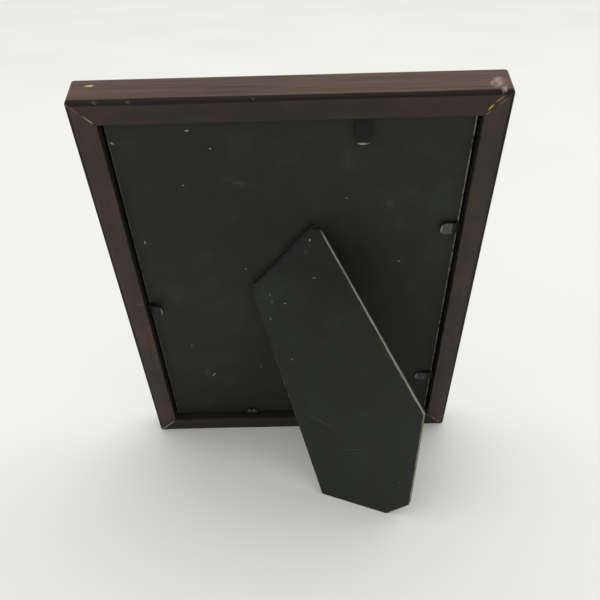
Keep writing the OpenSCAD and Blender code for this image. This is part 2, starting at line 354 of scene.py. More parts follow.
def wood_look(name, grain, painted_light_level):
    """Dark mahogany foil with a satin lacquer on the sides, dull stain on the back, painted shade in the rebate;
    grain is the axis along the bar, 0 or 2, and the last argument is a painted light level that lightens or
    darkens the stain."""
    look = Look(name, STANDING, Specular_IOR_Level=0.28)
    along = [1.0, 1.0, 1.0]
    along[grain] = 0.035
    streaks = look.noise(620, 5, 0.62, along)
    pores = look.noise(2600, 3, 0.5, along)
    drift = look.noise(80, 2, 0.5, along)
    figure = look.math("ADD", look.times(streaks, 0.75), look.times(drift, 0.25))
    side = look.ramp(figure, (0.34, srgb(35, 20, 18)), (0.45, srgb(65, 46, 39)),
                     (0.56, srgb(82, 60, 52)), (0.68, srgb(92, 60, 49)))
    stain = look.noise(34, 3, 0.55)
    tones = [(0.36, (31, 26, 20)), (0.5, (40, 32, 26)), (0.66, (55, 34, 30))]
    back = look.ramp(stain, *[(place, srgb(*[c * painted_light_level for c in tone])) for place, tone in tones])
    back = look.mix(look.fade(figure, 0.42, 0.6, 0.3, 0.0), back, srgb(24, 16, 13))
    colour = look.mix(look.attribute("side"), back, side)
    pore_mask = look.fade(pores, 0.42, 0.34)
    colour = look.mix(look.times(pore_mask, 0.4), colour, srgb(18, 11, 9))
    # painted shade: the rebate walls are painted near-black, for the shade in the recess
    colour = look.mix(look.attribute("rebate"), colour, srgb(20, 15, 12))
    # painted shade: the rounded back arris is darkened to a near-black red uneven band, broken by lighter rubbed
    # patches
    uneven = look.math("SUBTRACT", look.noise(300, 4, 0.6, along), 0.5)
    reach = look.math("ADD", look.attribute("arris"), look.times(uneven, 1.2))
    arris = look.fade(reach, 0.3, 0.62)
    colour = look.mix(look.times(arris, 0.95), colour, srgb(14, 2, 2))
    rub = look.times(look.fade(look.noise(190, 4, 0.6, along), 0.56, 0.68), arris)
    colour = look.mix(look.times(rub, 0.5), colour, srgb(86, 58, 50))
    ragged = look.shaken(900, 1.3 * MM)
    flaws = look.noise(420, 3)
    joint = look.times(look.attribute("mitre"), look.fade(flaws, 0.42, 0.56))
    colour = look.mix(joint, colour, srgb(122, 98, 78))
    colour = look.mix(look.times(look.attribute("chip"), 0.7), colour, srgb(126, 104, 90))
    wobbly = look.shaken(420, 0.5 * MM)
    putty = look.marks(MITRE_PUTTY, wobbly)
    colour = look.mix(look.times(putty, 0.85), colour, srgb(190, 160, 130))
    dashes = look.times(look.marks(MITRE_DASHES, wobbly), look.fade(flaws, 0.46, 0.54))
    colour = look.mix(dashes, colour, srgb(196, 164, 122))
    colour = look.mix(look.marks(CORNER_FILLER, ragged), colour, srgb(168, 138, 74))
    colour = look.mix(look.marks(STILE_SCRATCH, look.place), colour, srgb(118, 104, 88))
    if grain == 0:
        colour = look.mix(look.marks(BRAD_PUTTY, ragged), colour, srgb(176, 170, 132))
        streaky = look.fade(look.noise(700), 0.4, 0.55, 0.2, 0.9)
        smear = look.times(look.marks(BRAD_SMEAR, ragged), streaky)
        colour = look.mix(smear, colour, srgb(146, 128, 122))
    look.set("Base Color", colour)
    gloss = look.fade(look.noise(220, 4, 0.6, along), 0.3, 0.7, 0.4, 0.55)
    dull = look.math("MAXIMUM", arris, look.attribute("rebate"))
    look.set("Roughness", look.math("ADD", gloss, look.times(dull, 0.3)))
    fine = look.bump(pores, 0.05, 0.35)
    look.set("Normal", look.bump(streaks, 0.1, 0.4, fine))
    return look.material


def paper_look(name, tint, axes, lint, scuffs=(), creases=(), worn_from=None):
    """Black facing paper on hardboard: mottled, scuffed and linty, with a rubbed rim. The board's
    two sides wear from worn_from mm outwards; without it, this is the strut's paper, paler towards its foot."""
    look = Look(name, axes, Specular_IOR_Level=0.2)
    mottle = look.noise(70, 4, 0.65)
    cloud = look.noise(11, 2, 0.5)
    value = look.math("ADD", look.times(mottle, 0.6), look.times(cloud, 0.4))
    red, green, blue = tint
    colour = look.ramp(value, (0.36, srgb(red - 8, green - 8, blue - 8)), (0.5, srgb(red, green, blue)),
                       (0.64, srgb(red + 9, green + 11, blue + 8)))
    if worn_from is None:
        # paler towards the strut's foot, away from the hinge
        paler_to_foot = look.fade(look.axis("X"), -15 * MM, -95 * MM, 0.0, 0.55)
        colour = look.mix(paler_to_foot, colour, srgb(38, 41, 38))
        far = look.fade(look.axis("X"), -18 * MM, -40 * MM, 0.0, 0.7)
        rim = look.times(look.attribute("rim"), far)
        bare_from, bare_to = 0.44, 0.62
    else:
        rim = worn_sides(look, worn_from)
        bare_from, bare_to = 0.36, 0.56
    fibre = look.noise(3200, 4, 0.65)
    colour = look.mix(look.fade(fibre, 0.55, 0.8, 0.0, 0.35), colour, srgb(62, 64, 58))
    brushed = look.noise(70, 5, 0.7, (1.0, 1.0, 0.35))
    colour = look.mix(look.fade(brushed, 0.6, 0.78, 0.0, 0.25), colour, srgb(70, 74, 70))
    specks = look.fade(look.cells(420), 0.06, 0.03)
    patchy = look.fade(look.noise(45, 2), 0.58, 0.64)
    colour = look.mix(look.times(specks, patchy), colour, srgb(104, 108, 98))
    dust = look.marks(lint, look.shaken(1500, 0.5 * MM))
    colour = look.mix(look.times(dust, 0.7), colour, srgb(150, 152, 140))
    relief = look.bump(fibre, 0.03, 0.5)
    if scuffs:
        cloudy = look.marks(scuffs, look.shaken(300, 2 * MM), 0.0)
        haze = look.times(look.fade(look.noise(260, 4, 0.7), 0.42, 0.7, 0.0, 0.3), cloudy)
        colour = look.mix(haze, colour, srgb(74, 78, 74))
    if creases:
        fold = look.marks(creases, look.shaken(160, 0.9 * MM), 0.0)
        colour = look.mix(look.times(fold, 0.35), colour, srgb(92, 94, 90))
        relief = look.bump(fold, 0.12, 0.7, relief)
    frayed = look.times(rim, look.fade(look.noise(240, 4, 0.65), bare_from, bare_to))
    colour = look.mix(frayed, colour, srgb(120, 116, 102))
    look.set("Base Color", colour)
    look.set("Roughness", look.fade(mottle, 0.3, 0.7, 0.5, 0.66))
    look.set("Normal", look.bump(mottle, 0.25, 0.25, relief))
    return look.material


def worn_sides(look, edge):
    """Mask of the two upright sides of a sheet whose half width is edge mm; one is worn more."""
    across = look.axis("X")
    near = look.fade(look.math("ABSOLUTE", across), (edge - 0.55) * MM, (edge - 0.35) * MM)
    return look.times(near, look.fade(across, -MM, MM, 1.0, 0.25))


def fibre_look(name, pale, deep, axes, dark_spans=()):
    """Raw cut edge of pressed board: pale layers with darker and olive patches. Each dark span
    darkens the edge to near black: an axis and the two places in mm between which it begins."""
    look = Look(name, axes, Specular_IOR_Level=0.2)
    layers = look.noise(700, 4, 0.6, (0.12, 2.2, 0.12))
    patches = look.noise(110, 4, 0.6)
    colour = look.ramp(layers, (0.3, deep), (0.48, pale), (0.72, pale))
    colour = look.mix(look.fade(patches, 0.5, 0.62, 0.0, 0.6), colour, srgb(112, 108, 80))
    colour = look.mix(look.fade(look.noise(1400, 3), 0.58, 0.7, 0.0, 0.5), colour, srgb(60, 54, 46))
    ragged = look.shaken(420, 0.35 * MM)
    # each span darkens the edge to near black; at the strut's hinge end this is painted shade
    for letter, bare, dark_at in dark_spans:
        darkening = look.fade(look.axis(letter, ragged), bare * MM, dark_at * MM)
        colour = look.mix(darkening, colour, srgb(26, 27, 27))
    look.set("Base Color", colour)
    look.set("Roughness", look.fade(layers, 0.3, 0.7, 0.75, 0.95))
    look.set("Normal", look.bump(layers, 0.15, 0.8, look.bump(look.noise(2600), 0.06, 0.7)))
    return look.material


def steel_look(name):
    """Thin steel strip, lacquered black; its tilted outer half carries a painted sheen of grey, and its tip is
    bare grey steel with a painted glint.
    """
    look = Look(name, Specular_IOR_Level=0.18)
    flow = look.noise(1300, 3, 0.5)
    colour = look.ramp(look.noise(260, 4, 0.6), (0.35, srgb(8, 8, 8)), (0.65, srgb(19, 20, 20)))
    # painted sheen: grey patches on the outer half stand for the light caught by the tilted face
    sheen_patches = look.times(look.attribute("painted_sheen"), look.fade(flow, 0.3, 0.5, 0.7, 1.0))
    colour = look.mix(sheen_patches, colour, srgb(66, 67, 67))
    # the tip: bare cut steel, lightened further as a painted glint
    bare = look.times(look.attribute("tip"), look.fade(look.noise(700, 3), 0.4, 0.55))
    colour = look.mix(bare, colour, srgb(140, 139, 130))
    look.set("Base Color", colour)
    look.set("Metallic", look.times(bare, 0.7))
    look.set("Roughness", look.fade(look.noise(420, 4, 0.6), 0.3, 0.7, 0.42, 0.6))
    look.set("Normal", look.bump(flow, 0.03, 0.5))
    return look.material


def brad_look():
    """Dull steel brad head with cream putty smeared over it."""
    look = Look("brad_metal", Metallic=0.6)
    smear = look.fade(look.noise(900, 3), 0.4, 0.55)
    look.set("Base Color", look.mix(smear, srgb(120, 116, 108), srgb(182, 172, 140)))
    look.set("Roughness", look.fade(smear, 0, 1, 0.38, 0.8))
    look.set("Normal", look.bump(look.noise(2400, 3), 0.04, 0.5))
    return look.material


def glass_look():
    look = Look("clear_glass", STANDING, Transmission_Weight=1.0, IOR=1.5)
    haze = look.noise(14, 3, 0.5)
    look.set("Base Color", look.ramp(haze, (0.3, srgb(250, 254, 252)), (0.7, srgb(253, 255, 254))))
    look.set("Roughness", look.fade(haze, 0.35, 0.75, 0.0, 0.006))
    return look.material


def mat_look(centres, window_radius):
    """Cream mount card with a fine tooth and the white core showing on its bevelled cuts."""
    look = Look("mount_card", STANDING, Specular_IOR_Level=0.2)
    tooth = look.noise(2200, 4, 0.6)
    felt = look.noise(90, 3, 0.5)
    colour = look.ramp(felt, (0.35, srgb(240, 228, 200)), (0.65, srgb(246, 236, 212)))
    colour = look.mix(look.fade(tooth, 0.5, 0.8, 0.0, 0.35), colour, srgb(224, 210, 178))
    windows = [flat_mark(x, z, window_radius, window_radius) for x, z in centres]
    core = look.marks(windows, look.place, 0.995)
    colour = look.mix(core, colour, srgb(246, 245, 240))
    look.set("Base Color", colour)
    look.set("Roughness", look.fade(tooth, 0.3, 0.7, 0.82, 0.94))
    look.set("Normal", look.bump(tooth, 0.05, 0.6))
    return look.material


def flock_look():
    """Navy flocking: short dense nap with brushed patches."""
    look = Look("navy_flock", STANDING, Specular_IOR_Level=0.1, Sheen_Weight=0.6, Sheen_Roughness=0.4)
    nap = look.noise(5200, 4, 0.7)
    brushed = look.noise(55, 3, 0.5)
    colour = look.ramp(nap, (0.35, srgb(10, 18, 44)), (0.65, srgb(24, 42, 92)))
    colour = look.mix(look.fade(brushed, 0.5, 0.68, 0.0, 0.45), colour, srgb(38, 58, 112))
    look.set("Base Color", colour)
    look.set("Roughness", look.fade(brushed, 0.3, 0.7, 0.88, 1.0))
    look.set("Normal", look.bump(nap, 0.15, 0.8))
    return look.material


def card_look():
    """Grey packing card, with flecks of recycled fibre."""
    look = Look("grey_card", STANDING, Specular_IOR_Level=0.2)
    pulp = look.noise(1500, 4, 0.6, (0.3, 1.0, 1.0))
    colour = look.ramp(pulp, (0.35, srgb(150, 144, 130)), (0.65, srgb(182, 175, 158)))
    colour = look.mix(look.fade(look.cells(900), 0.12, 0.05, 0.0, 0.7), colour, srgb(92, 86, 76))
    look.set("Base Color", colour)
    look.set("Roughness", look.fade(pulp, 0.3, 0.7, 0.85, 0.95))
    look.set("Normal", look.bump(pulp, 0.06, 0.6))
    return look.material


def cloth_look():
    """Black book cloth: a plain weave with worn high threads."""
    look = Look("book_cloth", STRUT, Specular_IOR_Level=0.2, Sheen_Weight=0.15)
    warp = look.node("ShaderNodeTexWave", {"Vector": look.place, "Scale": 900.0, "Distortion": 0.6},
                     bands_direction="X").outputs["Fac"]
    weft = look.node("ShaderNodeTexWave", {"Vector": look.place, "Scale": 900.0, "Distortion": 0.6},
                     bands_direction="Z").outputs["Fac"]
    weave = look.math("MAXIMUM", warp, weft)
    colour = look.ramp(weave, (0.3, srgb(10, 10, 11)), (0.9, srgb(34, 34, 35)))
    colour = look.mix(look.fade(look.noise(300, 3), 0.55, 0.75, 0.0, 0.4), colour, srgb(64, 62, 58))
    look.set("Base Color", colour)
    look.set("Roughness", look.fade(weave, 0, 1, 0.95, 0.75))
    look.set("Normal", look.bump(weave, 0.1, 0.8))
    return look.material


def coin_look():
    """Nickel silver, toned dark in the field and bright on the relief."""
    look = Look("coin_silver", Metallic=1.0)
    height = look.attribute("relief")
    tone = look.noise(95, 3, 0.5)
    bright = look.ramp(tone, (0.35, srgb(196, 192, 182)), (0.65, srgb(214, 210, 198)))
    toned = look.ramp(tone, (0.35, srgb(112, 105, 94)), (0.65, srgb(146, 133, 110)))
    colour = look.mix(look.fade(height, 0.02, 0.35), toned, bright)
    look.set("Base Color", colour)
    look.set("Roughness", look.fade(look.noise(260, 4, 0.6), 0.3, 0.7, 0.2, 0.32))
    look.set("Normal", look.bump(look.noise(1800, 3, 0.6), 0.004, 0.4))
    return look.material


def floor_look():
    """Seamless pale paper with very faint waves of tone."""
    look = Look("pale_floor", Specular_IOR_Level=0.15)
    drift = look.noise(3.5, 2, 0.5)
    look.set("Base Color", look.ramp(drift, (0.3, (*FLOOR_TINT_LOW, 1)), (0.7, (*FLOOR_TINT_HIGH, 1))))
    look.set("Roughness", look.fade(drift, 0.3, 0.7, 0.8, 0.9))
    return look.material


# ---- Moulding ----

BACK_ARRIS = 1.2
FRONT_ARRIS = 2.2
OUTER_CORNER = 1.0
SMALL_ARRIS = 0.3
SIGHT_BAND = 3.8
BAND_DROP = 0.6
SIGHT_DROP = 1.1
STATION_STEP = 0.75
JOINT_GROOVE = 0.1
WAVE_HEIGHT = 0.04
WAVE_LENGTH = 30.0
SIDE_BAND = 1.7
FRAY = 0.4
FRAY_LENGTH = 2.2
CHIP_DEPTH = 0.35
TOP_CHIPS = [(63.4, 0.7), (52.4, 0.7), (11.8, 0.5), (2.5, 0.4), (-31.0, 0.4)]


def moulding_outline():
    """Section of the moulding: y across its depth, then distance in from the outer edge."""
    corners = [
        (0, 0, BACK_ARRIS),
        (0, BACK_WIDTH, SMALL_ARRIS),
        (LIP_BACK, BACK_WIDTH, 0.15),
        (LIP_BACK, SIGHT, 0.15),
        (SIGHT_DROP - DEPTH, SIGHT, SMALL_ARRIS),
        (BAND_DROP - DEPTH, SIGHT - SIGHT_BAND, 0.15),
        (-DEPTH, SIGHT - SIGHT_BAND, 0.15),
        (-DEPTH, 0, FRONT_ARRIS),
    ]
    return resampled(filleted(corners), 1.2)


def corner_rounded(end, depth_in):
    """Rounds the outer corner of the frame: distances from the end and from the outer edge."""
    a = OUTER_CORNER - end
    b = OUTER_CORNER - depth_in
    if a <= 0 or b <= 0:
        return end, depth_in
    shrink = max(a, b) / math.hypot(a, b)
    return OUTER_CORNER - a * shrink, OUTER_CORNER - b * shrink


def stations(length):
    """Places along a bar from -1 to 1, closer together near the mitres."""
    ends = [0.0, 0.12, 0.3, 0.6, 1.0, 1.5]
    near = [1 - 2 * d / length for d in ends]
    count = round(length / STATION_STEP)
    inner = near[-1]
    middle = [inner - 2 * inner * i / count for i in range(1, count)]
    return near + middle + [-t for t in reversed(near)]


def bar_points(length, place, chips):
    """Points of a mitred bar ring by ring, with the masks that its material reads."""
    outline = moulding_outline()
    grooved = inset(outline, JOINT_GROOVE)
    along = stations(length)
    rings = []
    masks = {name: [] for name in ("mitre", "arris", "chip", "side", "rebate")}
    for index, t in enumerate(along):
        at_end = index in (0, len(along) - 1)
        near_end = index in (0, 1, len(along) - 2, len(along) - 1)
        ring = []
        for plain, cut in zip(outline, grooved):
            y, n = cut if at_end else plain
            reach = length / 2 - n
            end, n = corner_rounded(length / 2 - abs(t) * reach, n)
            x = math.copysign(length / 2 - end, t)
            on_side = plain.x < -0.3 * BACK_ARRIS and plain.y < BACK_WIDTH - 0.1
            inner_edge = plain.y > BACK_WIDTH - 0.4 and plain.x > -0.4
            damage = 0.0
            for centre, radius in chips:
                distance = math.hypot(x - centre, math.hypot(y, n) * 0.7)
                damage = max(damage, 1 - distance / radius)
            damage = max(0.0, damage)
            wave = noise.noise(Vector(place(x, y, n)) / WAVE_LENGTH) * WAVE_HEIGHT
            y -= CHIP_DEPTH * damage - wave
            n += CHIP_DEPTH * damage
            if inner_edge:
                fray = max(0.0, noise.noise(Vector(place(x, 0, 0)) / FRAY_LENGTH)) * FRAY
                y -= fray
                n -= fray
            ring.append(Vector(place(x, min(y, 0.0), n)))
            masks["mitre"].append(float(near_end))
            band = SIDE_BAND if on_side else BACK_ARRIS
            masks["arris"].append(min(1.0, max(0.0, 1.5 - math.hypot(*plain) / band)))
            masks["chip"].append(min(1.0, damage * 1.6))
            masks["side"].append(float(on_side))
            in_rebate = plain.y > BACK_WIDTH - 0.1 and LIP_BACK - 0.1 < plain.x < -0.4
            masks["rebate"].append(float(in_rebate))
        rings.append(ring)
    return rings, masks


def bar(node, length, place, look, chips):
    rings, masks = bar_points(length, place, chips)
    points, faces = loft(rings)
    obj = piece(node + "_wood", points, faces, STANDING, look, "frame", 40)
    for name, values in masks.items():
        paint(obj, name, values)
    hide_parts(node)


def random_chips(rng, length, count):
    return [(rng.uniform(-length / 2, length / 2), rng.uniform(0.35, 0.6)) for _ in range(count)]


def build_moulding():
    rng = random.Random(11)
    # painted light level per bar: the bottom rail's stain gets painted shade, the stiles' stain gets painted light
    above = wood_look("rail_wood_top", 0, 0.94)
    below = wood_look("rail_wood_bottom", 0, 0.55)
    upright = wood_look("rail_wood_upright", 2, 1.22)
    bar("top_rail", WIDTH, lambda x, y, n: (x, y, HEIGHT - n), above, TOP_CHIPS)
    bar("bottom_rail", WIDTH, lambda x, y, n: (x, y, n), below, random_chips(rng, WIDTH, 4))
    bar("left_stile", HEIGHT, lambda z, y, n: (WIDTH / 2 - n, y, HEIGHT / 2 + z), upright,
        random_chips(rng, HEIGHT, 5))
    bar("right_stile", HEIGHT, lambda z, y, n: (n - WIDTH / 2, y, HEIGHT / 2 + z), upright,
        random_chips(rng, HEIGHT, 5))


BRAD_SIDES = 20
BRAD_LENGTH = 18
BRAD_SHANK = 0.6


def turned(profile, centre, direction):
    """Rings around an axis through centre, from (distance along, radius) pairs."""
    axis = Vector(direction)
    side = axis.orthogonal().normalized()
    other = axis.cross(side)
    rings = []
    for along, radius in profile:
        ring = []
        for k in range(BRAD_SIDES):
            angle = 2 * math.pi * k / BRAD_SIDES
            spoke = side * math.cos(angle) + other * math.sin(angle)
            ring.append(Vector(centre) + axis * along + spoke * radius)
        rings.append(ring)
    return rings


def build_brads():
    """Four brads with domed, slightly sunk heads."""
    near, far = node_span("corner_brads", 1)
    depth = (near + far) / 2
    head = (far - near) / 2
    x = node_span("corner_brads", 0)[1] - head
    top = node_span("corner_brads", 2)[1]
    length = top - (HEIGHT - BRAD_LENGTH)
    domed_head = [(0.0, 0.1), (0.02, 0.4), (0.06, 0.7), (0.12, head - 0.05), (0.2, head), (0.8, head)]
    shank = [(0.85, BRAD_SHANK + 0.02), (1.1, BRAD_SHANK), (length - 1.2, BRAD_SHANK)]
    profile = domed_head + shank + [(length - 0.1, 0.12)]
    points, faces = [], []
    for side in (-1, 1):
        for start, direction in ((top, -1), (HEIGHT - top, 1)):
            rings = turned(profile, (side * x, depth, start), (0, 0, direction))
            more, more_faces = loft(rings)
            faces += [tuple(i + len(points) for i in face) for face in more_faces]
            points += more
    obj = piece("corner_brads_steel", points, faces, STANDING, brad_look(), "frame")
    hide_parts("corner_brads")


# ---- Strut ----

STRUT_CORNER = 0.9
EDGE_STEP = 0.7
FIBRE_ROUGHNESS = 0.045
PAPER_RIM = 0.45
STRUT_LINT = [
    flat_mark(-0.3, -21.6, 0.9, 0.25, 50),
    flat_mark(-2.5, 17.1, 0.7, 0.35, 50),
    flat_mark(-14.3, 6.4, 1.0, 0.14, 117),
    flat_mark(-13.7, -13.0, 0.9, 0.16, 127),
    flat_mark(-32.9, -31.0, 0.35, 0.3),
    flat_mark(-103.0, -34.1, 0.3, 0.25),
    flat_mark(-6.7, -15.6, 0.4, 0.2, 50),
    flat_mark(-9.5, -17.4, 0.4, 0.25, 127),
    flat_mark(-14.2, -24.2, 0.4, 0.3),
    flat_mark(-15.7, -30.3, 0.45, 0.35),
]
STRUT_SCUFFS = [
    flat_mark(-2.4, 4.6, 3.2, 1.8, 95),
    flat_mark(-5.0, 13.0, 4.0, 2.2, 90),
    flat_mark(-85.0, -38.0, 7.0, 2.5, 70),
    flat_mark(-70.0, -22.0, 4.0, 1.8, 127),
]
STRUT_CREASES = [flat_mark(-61.8, -43.0, 13.5, 0.3, 154), flat_mark(-80.0, -40.0, 9.0, 0.25, 118)]


def strut_outline():
    """The strut's outline in its own axes, from the CAD facing."""
    places = sorted({(round(p.x, 2), round(p.z, 2)) for p in node_points("strut_facing", STRUT)})
    corners = [Vector(places[i]) for i in convex_hull_2d(places)]
    kept = []
    for i, corner in enumerate(corners):
        before = corners[i - 1] - corner
        after = corners[(i + 1) % len(corners)] - corner
        if math.degrees(before.angle(after)) < 179:
            kept.append((corner.x, corner.y, STRUT_CORNER))
    return resampled(filleted(kept, 3), EDGE_STEP)


def plate(outline, low, high, edge, roughness, seed):
    """Rings of a plate whose edge is rounded by edge and made uneven, from y low to y high."""
    middle = (low + high) / 2
    levels = [(low, edge), (low + edge, 0.0), (middle, 0.0), (high - edge, 0.0), (high, edge)]
    rings = []
    for y, step_in in levels:
        ring = []
        for point in inset(outline, step_in + roughness):
            push = noise.noise(Vector((point.x * 0.9, y * 1.7 + seed, point.y * 0.9))) * roughness
            centre_pull = point.normalized() * push
            ring.append(Vector((point.x + centre_pull.x, y, point.y + centre_pull.y)))
        rings.append(ring)
    return rings


def build_strut():
    """The strut's fibre board and the black paper on its outer face."""
    outline = strut_outline()
    inner, face = node_span("strut_board", 1, STRUT)
    outer = node_span("strut_facing", 1, STRUT)[1]
    # the edge is darkened to near black at its hinge end, as painted shade where the slot's shadow falls, and
    # along the part next to its inner face
    core = fibre_look("strut_core", srgb(134, 134, 124), srgb(98, 95, 84), STRUT,
                      [("X", -6.0, -1.6), ("Y", inner + 1.3, inner + 1.0)])
    points, faces = loft(plate(outline, inner, face, 0.12, FIBRE_ROUGHNESS, 3.0))
    board = piece("strut_board_core", points, faces, STRUT, core, "strut", 50)
    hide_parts("strut_board")
    paper = paper_look("strut_paper", (20, 22, 20), STRUT, STRUT_LINT, STRUT_SCUFFS, STRUT_CREASES)
    rings = plate(outline, face, outer, 0.06, 0.08, 9.0)
    rings.append([Vector((p.x, outer, p.y)) for p in inset(outline, PAPER_RIM)])
    points, faces = loft(rings)
    facing = piece("strut_facing_paper", points, faces, STRUT, paper, "strut", 50)
    paint(facing, "rim", [float(i < len(points) - len(outline)) for i in range(len(points))])
    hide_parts("strut_facing")


# ---- Hinge cloth ----

CLOTH_THICKNESS = 0.34
CLOTH_STEP = 0.5
CLOTH_TRIM = 0.2
CLOTH_EDGE = 0.08
CLOTH_END_GAP = 0.3
GLUE_LINE = 0.04
STRIP_CELLS = 8


def strip_rings(path, widths, thickness, across, edge):
    """Rings of a flat strip along a path in 3D; widths are (low, high) across it."""
    rings = []
    for i, point in enumerate(path):
        before = path[max(i - 1, 0)]
        after = path[min(i + 1, len(path) - 1)]
        normal = (after - before).normalized().cross(across)
        low, high = widths[i]
        half = thickness / 2
        section = [(low, -half + edge), (low + edge, -half)]
        section += [(low + (high - low) * k / STRIP_CELLS, -half) for k in range(1, STRIP_CELLS)]
        section += [(high - edge, -half), (high, -half + edge)]
        section += [(high, half - edge), (high - edge, half)]
        section += [(high - (high - low) * k / STRIP_CELLS, half) for k in range(1, STRIP_CELLS)]
        section += [(low + edge, half), (low, half - edge)]
        rings.append([point + across * a + normal * b for a, b in section])
    return rings


def softened(path, rounds):
    """The path with its bends smoothed; the ends stay."""
    for _ in range(rounds):
        inner = [(path[i - 1] + path[i] * 2 + path[i + 1]) / 4 for i in range(1, len(path) - 1)]
        path = [path[0]] + inner + [path[-1]]
    return path


def walked(corners, step):
    """Points about step apart along straight runs between corners."""
    path = [corners[0]]
    for start, stop in zip(corners, corners[1:]):
        parts = max(1, round((stop - start).length / step))
        path += [start.lerp(stop, k / parts) for k in range(1, parts + 1)]
    return path


def path_length(path):
    return sum((b - a).length for a, b in zip(path, path[1:]))


def build_hinge():
    """One strip of cloth: glued inside the board, out through the slot and under the strut."""
    to_strut = STRUT.inverted() @ STANDING
    board_out = (to_strut.to_3x3() @ Vector((0, 1, 0))).normalized()
    along = Vector((0, 0, 1))
    uphill = board_out.cross(along)
    flap = node_span("hinge_cloth_fixed", 0, STRUT)
    inside = node_points("hinge_cloth_fixed", STRUT)
    flap_depth = min(p.dot(board_out) for p in inside)
    flap_reach = max(p.dot(uphill) for p in inside)
    web_foot = board_out * (flap_depth + CLOTH_THICKNESS / 2 + GLUE_LINE)
    strut_reach = -node_span("hinge_cloth_moving", 0, STRUT)[0]
    corners = [
        web_foot + uphill * (flap_reach - CLOTH_END_GAP),
        web_foot,
        Vector((0, 0, 0)),
        Vector((-strut_reach + CLOTH_END_GAP, 0, 0)),
    ]
    path = softened(walked(corners, CLOTH_STEP), 2)
    outline = strut_outline()
    low, high = (HINGE_LENGTH[0] + CLOTH_TRIM, HINGE_LENGTH[1] - CLOTH_TRIM)
    trims = []
    for point in path:
        under_strut = point.x < -STRUT_CORNER
        limit = outline_top(outline, point.x) - CLOTH_TRIM if under_strut else high
        trims.append((low, min(high, limit)))
    points, faces = loft(strip_rings(path, trims, CLOTH_THICKNESS, along, CLOTH_EDGE))
    cloth = piece("hinge_cloth_strip", points, faces, STRUT, cloth_look(), None, 60)
    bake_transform(cloth)
    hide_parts("hinge_cloth_fixed", "hinge_cloth_moving")


def outline_top(outline, x):
    """Highest point of an outline at a place across it."""
    heights = []
    for start, stop in zip(outline, outline[1:] + outline[:1]):
        if min(start.x, stop.x) <= x < max(start.x, stop.x):
            heights.append(start.lerp(stop, (x - start.x) / (stop.x - start.x)).y)
    return max(heights)


# ---- Retaining tabs ----

TABS = ("tab_top", "tab_right_upper", "tab_right_lower", "tab_left", "tab_bottom")
TAB_THICKNESS = 0.4
TAB_BEND = 0.045
# share of painted sheen on each tab's outer half, for the light its tilted face catches
TAB_PAINTED_SHEEN = {"tab_right_upper": 1.0, "tab_right_lower": 0.75, "tab_bottom": 0.6}
TAB_BEND_AT = 0.45
TAB_TIP = 1.8
TAB_EDGE = 0.1
TAB_STEPS = 24
TIP_BAND = 0.12
ANCHOR_LENGTH = 4.5
ANCHOR_START = 0.3


def tab_axes(tab):
    """A tab's axes on its bending line: Z along the line, Y out of the board, X over it."""
    joint = next(j for j in frame["joints"] if j["child"] == tab)
    out = STANDING.col[1].to_3d().normalized()
    axes = axes_matrix(Vector(joint["pos_m"]), out, Vector(joint["axis"]).normalized())
    if sum(node_span(tab, 0, axes)) < 0:
        axes = axes_matrix(Vector(joint["pos_m"]), out, -Vector(joint["axis"]).normalized())
    return axes


def tongue_path(reach, rise):
    """From the bending line to the tip, rising above the straight line before its middle."""
    chord = Vector((reach, rise, 0))
    length = chord.length
    normal = Vector((-rise, reach, 0)) / length
    path = []
    for k in range(TAB_STEPS + 1):
        share = k / TAB_STEPS
        rising = share < TAB_BEND_AT
        lift = share / TAB_BEND_AT if rising else (1 - share) / (1 - TAB_BEND_AT)
        path.append(chord * share + normal * lift * length * TAB_BEND)
    return softened(path, 3)


def tongue_widths(path, half):
    """Half width at each point: full, then rounded off over the tip radius."""
    length = path_length(path)
    tip = min(TAB_TIP, length / 2)
    widths = []
    done = 0.0
    for i, point in enumerate(path):
        done += (point - path[i - 1]).length if i else 0.0
        over = max(0.0, done - (length - tip)) / tip
        corner = tip * (1 - math.sqrt(max(0.0, 1 - over * over)))
        width = half - corner * 0.96
        widths.append((-width, width))
    return widths


